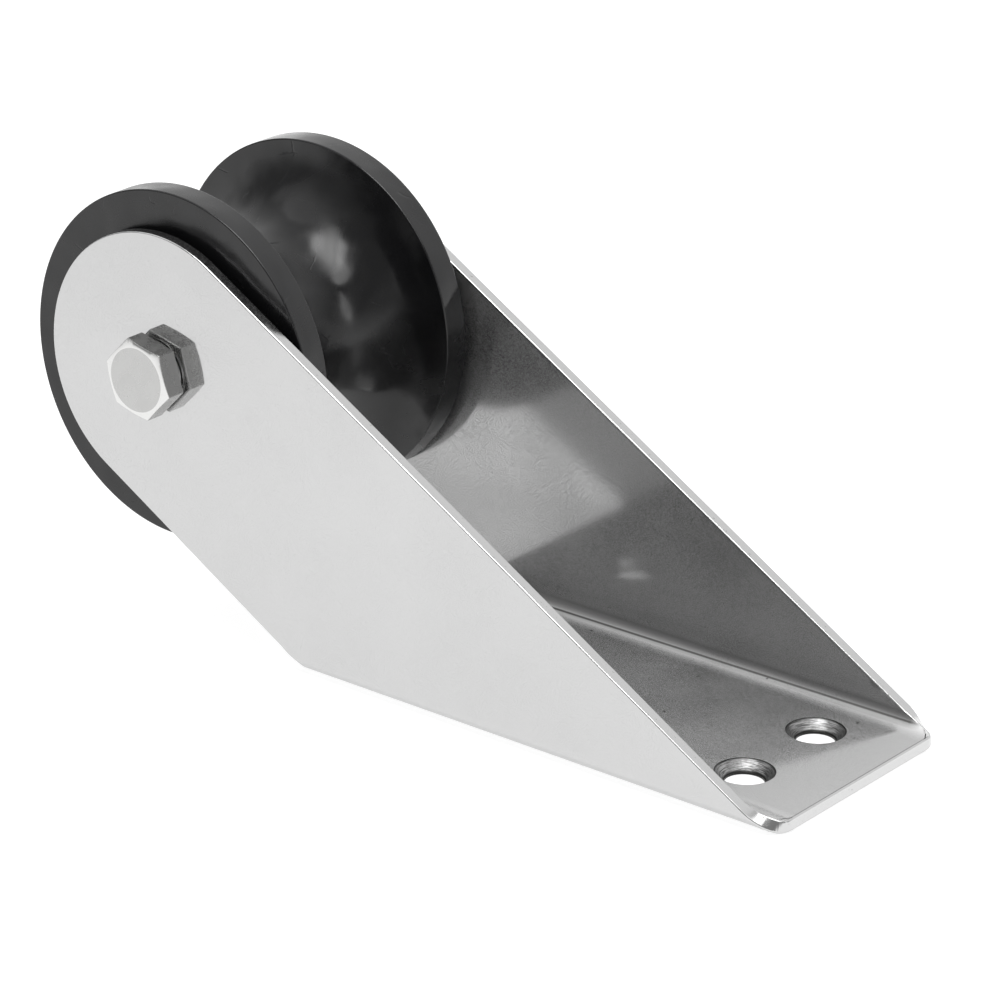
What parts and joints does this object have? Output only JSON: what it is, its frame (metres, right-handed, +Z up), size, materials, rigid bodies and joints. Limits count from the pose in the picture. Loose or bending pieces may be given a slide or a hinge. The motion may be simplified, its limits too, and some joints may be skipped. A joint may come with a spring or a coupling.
{
  "type": "bow roller",
  "caption": "Fixed bow roller for a small boat: a folded stainless bracket holds a grooved black roller on a through bolt, to lead an anchor line over the bow.",
  "frame": {"origin": "middle of the base plate's underside, the face that lies on the deck", "axes": "+X forward, towards the roller; +Y to port, the side of the bolt's head; +Z up from the deck"},
  "size_m": [0.216, 0.0914, 0.1045],
  "materials": {
    "polished_stainless": "stainless steel sheet, mirror polished",
    "fastener_stainless": "stainless steel, cold formed and tumbled bright",
    "black_roller": "black moulded plastic, glossy",
    "white_acetal": "white acetal, as turned",
    "nut_nylon": "blue nylon, matte"
  },
  "bodies": {
    "frame": {"bracket": "polished_stainless", "axle_bolt": "fastener_stainless", "axle_sleeve": "fastener_stainless", "thrust_washer_port": "white_acetal", "thrust_washer_starboard": "white_acetal", "nut_washer": "fastener_stainless", "lock_nut": "fastener_stainless", "lock_nut_insert": "nut_nylon"},
    "roller": {"roller": "black_roller", "bush_port": "white_acetal", "bush_starboard": "white_acetal"}
  },
  "joints": [
    {"name": "roller_spin", "type": "hinge", "parent": "frame", "child": "roller", "pos_m": [0.1085, 0, 0.063], "axis": [0, 1, 0], "continuous": true}
  ]
}
